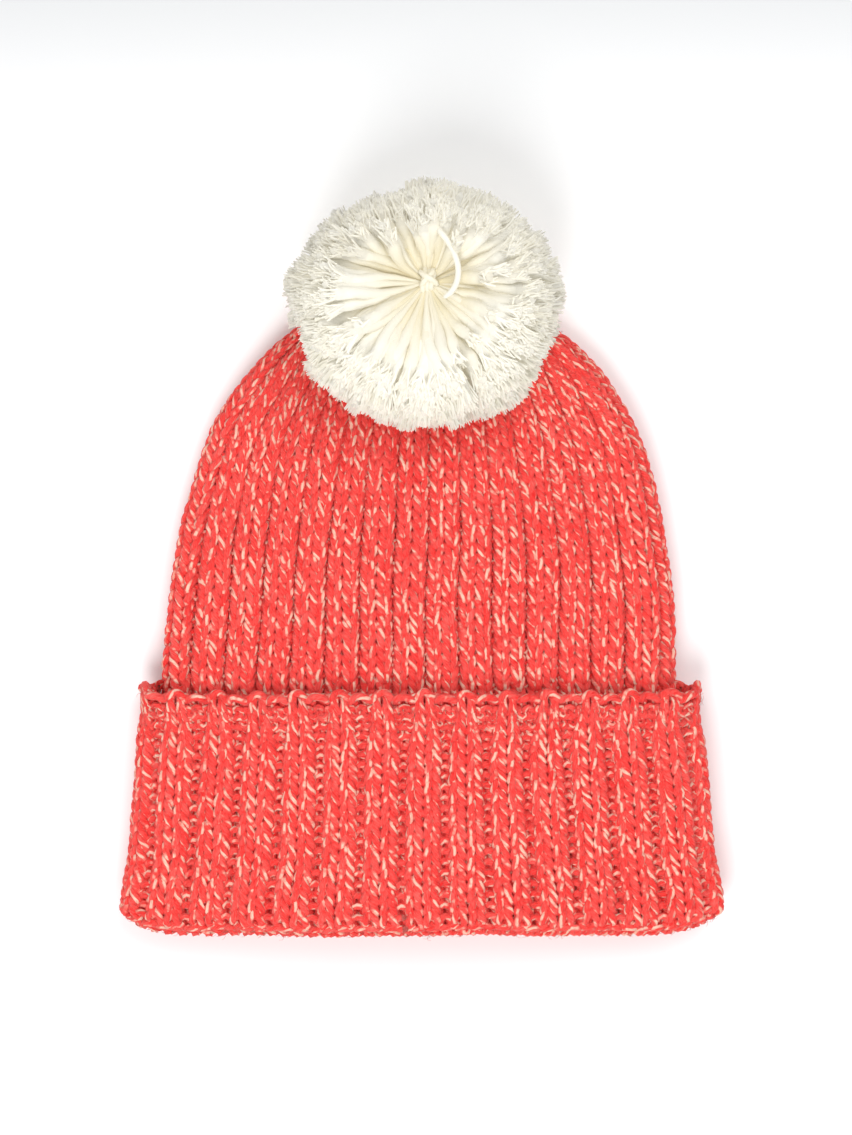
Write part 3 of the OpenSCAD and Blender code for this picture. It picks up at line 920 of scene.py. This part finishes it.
def pompom():
    rng = np.random.default_rng(11)
    total = 1250
    k = np.arange(total) + 0.5
    z = 1 - 2 * k / total
    lon = np.pi * (1 + 5**0.5) * k
    d = np.stack([np.sqrt(1 - z * z) * np.cos(lon), np.sqrt(1 - z * z) * np.sin(lon), z], 1)
    d = unit(d + rng.normal(0, 0.035, d.shape))
    length = 1 + rng.normal(0, 0.02, total) - 0.05 * (rng.random(total) < 0.12)
    around = np.arctan2(d[:, 1], d[:, 0])
    for centre, width, grow in ((3.05, 0.13, 0.06), (2.72, 0.10, -0.045), (1.86, 0.12, -0.055), (1.50, 0.09, 0.03), (0.9, 0.12, 0.02), (-2.5, 0.15, 0.02)):
        length += grow * np.exp(-(((around - centre) / width) ** 2))
    end = BALL + BALL_R * d * length[:, None]
    flat = end[:, :2] - STAR
    r = np.linalg.norm(flat, axis=1)
    phi = np.arctan2(flat[:, 1], flat[:, 0])
    share = r / outline_reach(phi)
    top = end[:, 2] > BALL[2]
    # the crater: no ends near the tie on top; a few shorter strands end on its walls
    rim = 0.73 + 0.04 * np.sin(3 * phi + 0.6) + 0.03 * np.sin(7 * phi + 2.0)
    keep = ~(top & (share < rim))
    short = top & (share > 0.42) & (share < rim) & (rng.random(total) < 0.22)
    end[short, 2] = 50 + (end[short, 2] - 50) * (0.35 + 0.55 * (share[short] / 0.75) ** 1.5)
    keep |= short
    end, r, phi, share, d, top = end[keep], r[keep], phi[keep], share[keep], d[keep], top[keep]
    n = len(end)
    # a clump of strands leans together here and there
    lean_to = np.stack([np.sin(5.0 * d[:, 0] + 3 * d[:, 1] + 1.0), np.sin(4.6 * d[:, 1] - 3 * d[:, 2] + 2.0), np.sin(4.2 * d[:, 2] + 4 * d[:, 0])], 1)
    end = end + lean_to * 1.3 + rng.normal(0, 0.8, end.shape)
    up = np.clip((end[:, 2] - BALL[2]) / BALL_R[2], -1, 1)
    out = np.stack([np.cos(phi), np.sin(phi)], 1)
    p0 = np.zeros((n, 3))
    start_r = 1.2 + 1.6 * rng.random(n)
    p0[:, :2] = STAR + out * start_r[:, None]
    p0[:, 2] = 45.0 + 5.0 * up
    span = np.linalg.norm(end - p0, axis=1)
    rise = np.where(up > 0, 0.22 + 0.35 * up, 0.5 * up)
    d1 = unit(np.concatenate([out, rise[:, None]], 1))
    # bearing wanders a little, so that strands cross
    swing = rng.normal(0, 0.16, n)
    side = np.stack([-out[:, 1], out[:, 0], np.zeros(n)], 1)
    p1 = p0 + (d1 + side * swing[:, None]) * (span * 0.42)[:, None]
    normal = unit((end - BALL) / BALL_R**2)
    outward = unit(end - p0)
    d2 = unit(normal * 0.75 + outward * 0.6)
    p2 = end - d2 * (span * 0.34)[:, None]
    # the strands gather into clumps with gaps between them
    shift = (0.050 * np.sin(11 * phi + 0.5) + 0.030 * np.sin(19 * phi + 2.0) + 0.02 * np.sin(31 * phi)) * (up > 0.0)
    for q, w in ((p1, 1.0), (p2, 0.9), (end, 0.45)):
        x, y = q[:, 0] - STAR[0], q[:, 1] - STAR[1]
        cs, sn = np.cos(shift * w), np.sin(shift * w)
        q[:, 0], q[:, 1] = STAR[0] + x * cs - y * sn, STAR[1] + x * sn + y * cs
    rings = 11
    t0 = np.where(up > 0.05, 0.0, 0.35)
    t = t0[:, None] + (1 - t0)[:, None] * np.linspace(0, 1, rings)[None] ** 0.85
    c = bezier((p0, p1, p2, end), t)
    wave = rng.random((n, 2)) * 6.28
    arc = t * span[:, None]
    c += side[:, None] * (0.8 * np.sin(arc / 6.0 + wave[:, :1]) * smooth(t * 1.6))[..., None]
    c[..., 2] += 0.6 * np.sin(arc / 5.0 + wave[:, 1:]) * smooth(t * 1.6)
    floor = resting(c[..., 1]) + 1.6
    c[..., 2] = np.where(c[..., 2] < floor, floor + 0.06 * (c[..., 2] - floor), c[..., 2])
    size = 2.05 + 0.5 * rng.random(n)
    radius = size[:, None] * (0.24 + 0.76 * smooth(t / 0.60)) * (1 - 0.34 * smooth((t - 0.80) / 0.20))
    radius = radius * (1 + 0.10 * np.sin(arc / 1.9 + wave[:, 1:]))
    tint = rng.random(n)
    ref = np.tile((0.0, 0.0, 1.0), (n, 1)) + 0.01 * rng.normal(0, 1, (n, 3))
    ref = unit(ref + 0.3 * side)
    yarns = Tubes(7)
    # painted shade: each strand's colour is darker and yellower near the tie, where the crater lies in shade, plus a
    # random tone per strand
    crater_shade_and_tone = 0.12 + 0.55 * smooth((arc - 4) / 34.0) + 0.33 * tint[:, None]
    shell = unit((c - BALL) / BALL_R**2)
    add_many(yarns, c, ref, radius, crater_shade_and_tone, rng.random(n) * 300, bent=shell, share=0.8 * smooth((t - 0.60) / 0.30))

    # each cut end opens into its fibres
    groups = []
    for part in range(3):
        fibres = Tubes(3)
        per = 18
        who = np.repeat(np.arange(n)[part::3], per)
        m = len(who)
        f0 = 0.62 + 0.30 * rng.random(m)
        f = f0[:, None] + (1 - f0)[:, None] * np.linspace(0, 1, 4)[None]
        base = bezier((p0[who], p1[who], p2[who], end[who]), f)
        arc_f = f * span[who][:, None]
        base += side[who][:, None] * (0.8 * np.sin(arc_f / 6.0 + wave[who][:, :1]) * smooth(f * 1.6))[..., None]
        base[..., 2] += 0.6 * np.sin(arc_f / 5.0 + wave[who][:, 1:]) * smooth(f * 1.6)
        d_end = unit(base[:, -1] - base[:, -2])
        a = rng.random(m) * 6.28
        u = unit(np.cross(d_end, (0.13, 0.21, 0.97)))
        w = np.cross(d_end, u)
        away = u * np.cos(a)[:, None] + w * np.sin(a)[:, None]
        g = np.linspace(0, 1, 4)[None]
        spread = (0.75 + (0.5 + 1.5 * rng.random(m))[:, None] * g**1.4) * size[who][:, None] * 0.58
        curl = a[:, None] + g * rng.normal(0, 1.1, m)[:, None]
        away = u[:, None] * np.cos(curl)[..., None] + w[:, None] * np.sin(curl)[..., None]
        cf = base + away * spread[..., None]
        cf += d_end[:, None] * (g**2 * (0.2 + 1.5 * rng.random(m))[:, None])[..., None]
        floor = resting(cf[..., 1]) + 0.6
        cf[..., 2] = np.where(cf[..., 2] < floor, floor + 0.05 * (cf[..., 2] - floor), cf[..., 2])
        rf = (0.55 + 0.27 * rng.random(m))[:, None] * (1 - 0.62 * g)
        shell = unit((cf - BALL) / BALL_R**2)
        shades = np.clip(0.74 + 0.28 * tint[who] + rng.normal(0, 0.06, m), 0, 1)
        add_many(fibres, cf, unit(np.tile((0.1, 0.2, 1.0), (m, 1))), rf, shades, rng.random(m) * 300, bent=shell, share=0.85)
        groups.append(fibres)
    for name, tubes, mat in (
        ("pompom_yarn_strands", yarns, IVORY),
        ("pompom_fibre_ends_a", groups[0], IVORY_FIBRE),
        ("pompom_fibre_ends_b", groups[1], IVORY_FIBRE),
        ("pompom_fibre_ends_c", groups[2], IVORY_FIBRE),
    ):
        ob = piece(name, tubes.mesh(name), mat, ("pompom_strands",))
        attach(ob, "pompom")


pompom()

# ----------------------------------------------------------- camera, lights


def look():
    cam = bpy.data.cameras.new("camera")
    cam.lens = 125
    cam.sensor_width = 36
    cam.clip_end = 20
    ob = bpy.data.objects.new("camera", cam)
    ob.location = (0.0023, -0.0029, 1.52)
    bpy.context.collection.objects.link(ob)
    bpy.context.scene.camera = ob
    world = bpy.data.worlds.new("studio")
    world.use_nodes = True
    bg = world.node_tree.nodes["Background"]
    bg.inputs[0].default_value = (1.0, 0.995, 0.99, 1)
    bg.inputs[1].default_value = 0.63
    bpy.context.scene.world = world

    def area(name, at, to, size, power):
        d = bpy.data.lights.new(name, "AREA")
        d.shape = "DISK"
        d.size = size
        d.energy = power
        o = bpy.data.objects.new(name, d)
        o.location = at
        direction = np.array(to, float) - np.array(at, float)
        from mathutils import Vector
        o.rotation_euler = Vector(direction).to_track_quat("-Z", "Y").to_euler()
        bpy.context.collection.objects.link(o)

    area("key", (-0.25, -0.80, 1.28), (0, 0, 0), 0.8, 13.2)
    area("fill", (0.35, 0.62, 1.3), (0, 0.03, 0), 1.1, 9.0)

    me = bpy.data.meshes.new("floor")
    s = 3.0
    me.from_pydata([(-s, -s, 0), (s, -s, 0), (s, s, 0), (-s, s, 0)], [], [(0, 1, 2, 3)])
    k = Nodes("floor")
    geo = k.t.nodes.new("ShaderNodeNewGeometry")
    # painted light fall-off: the floor's colour darkens toward the back (+Y), standing in for less light there, while
    # the lighter floor near the hat softens the pom pom's cast shadow
    far = k.step(k.split(geo.outputs["Position"])[1], 0.11, 0.25)
    k.put(k.p.inputs["Base Color"], k.mix(far, (0.93, 0.93, 0.935), (0.62, 0.632, 0.642)))
    k.p.inputs["Roughness"].default_value = 0.9
    k.p.inputs["Specular IOR Level"].default_value = 0.1
    me.materials.append(k.m)
    floor = bpy.data.objects.new("floor", me)
    bpy.context.collection.objects.link(floor)
    sc = bpy.context.scene
    sc.view_settings.view_transform = "Standard"
    sc.view_settings.look = "None"
    sc.view_settings.exposure = 0.0
    sc.cycles.diffuse_bounces = 10
    sc.cycles.max_bounces = 14


look()
